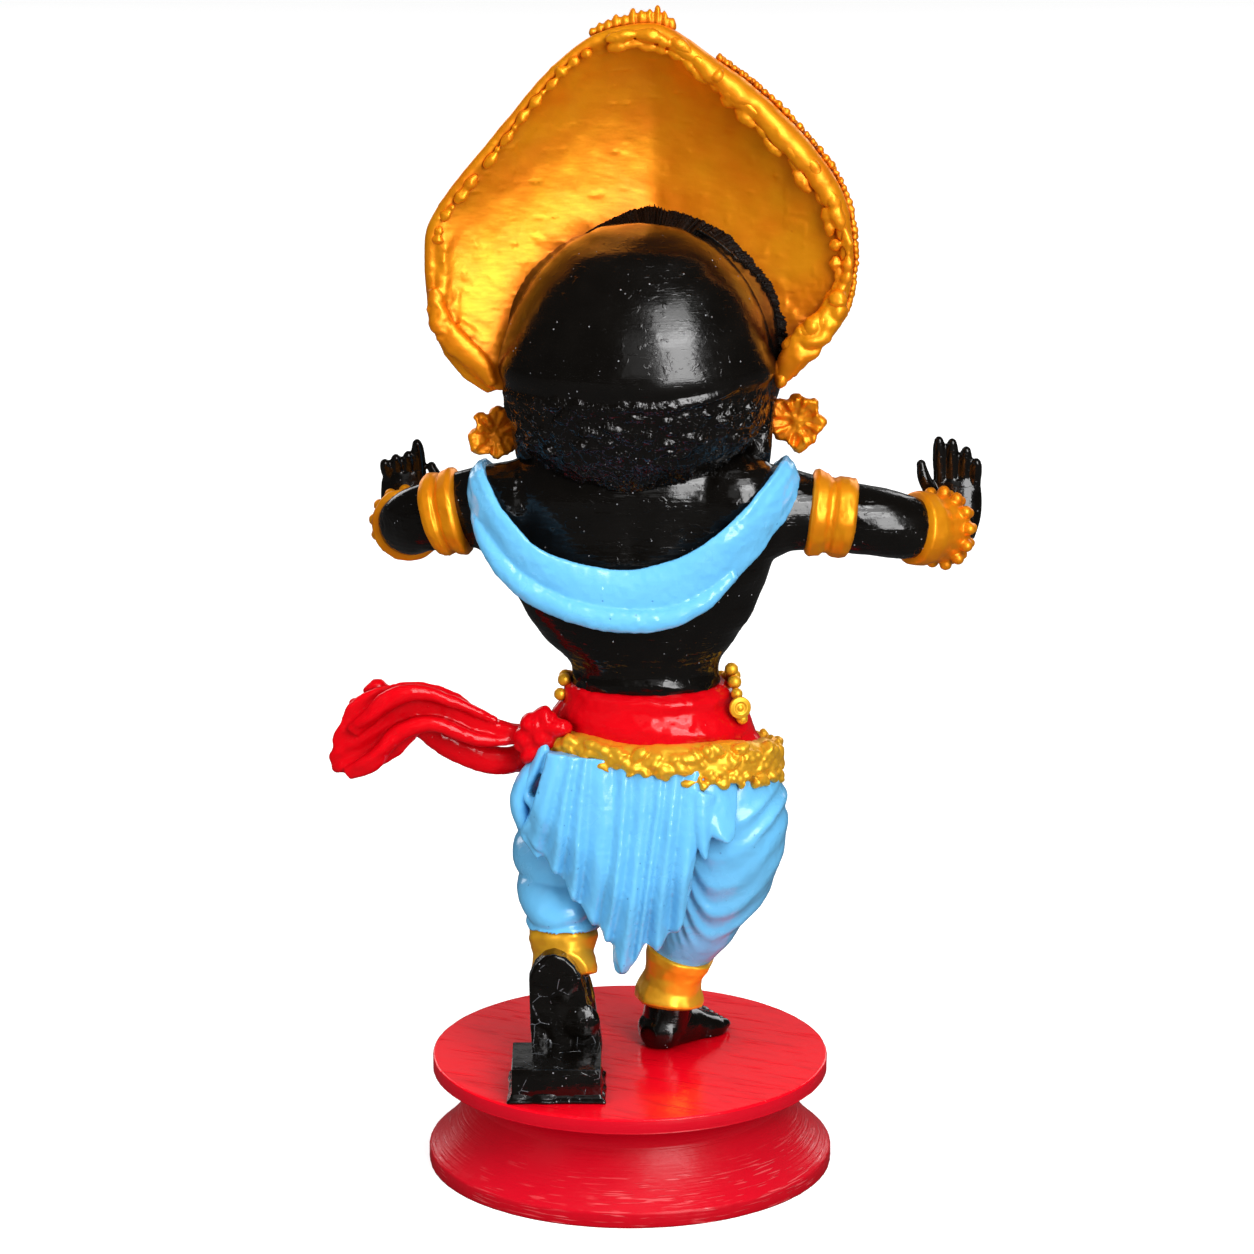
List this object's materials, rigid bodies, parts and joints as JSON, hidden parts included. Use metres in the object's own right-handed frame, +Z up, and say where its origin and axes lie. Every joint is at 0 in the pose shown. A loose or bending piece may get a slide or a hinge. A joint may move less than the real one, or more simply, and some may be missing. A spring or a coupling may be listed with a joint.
{
  "type": "jagannath figure",
  "caption": "Dancing temple figure with a wide leaf-shaped crown, arms spread, one foot raised on a block, on a turned spool-shaped plinth.",
  "frame": {"origin": "centre of the plinth's underside", "axes": "+Z up; the figure faces +Y, so its back faces -Y; +X to the right as seen from behind"},
  "size_m": [0.1603, 0.1002, 0.2852],
  "materials": {
    "black_enamel": "glossy black enamel with dust specks and fine layer lines",
    "gold_paint": "brushed gold paint over carved relief, darker in the hollows",
    "blue_enamel": "glossy sky-blue enamel, darker in the folds",
    "red_enamel": "glossy bright red enamel",
    "plinth_red": "turned wood under glossy red paint with brush marks"
  },
  "bodies": {
    "root": {"figure": "black_enamel", "plinth": "plinth_red"}
  },
  "joints": []
}
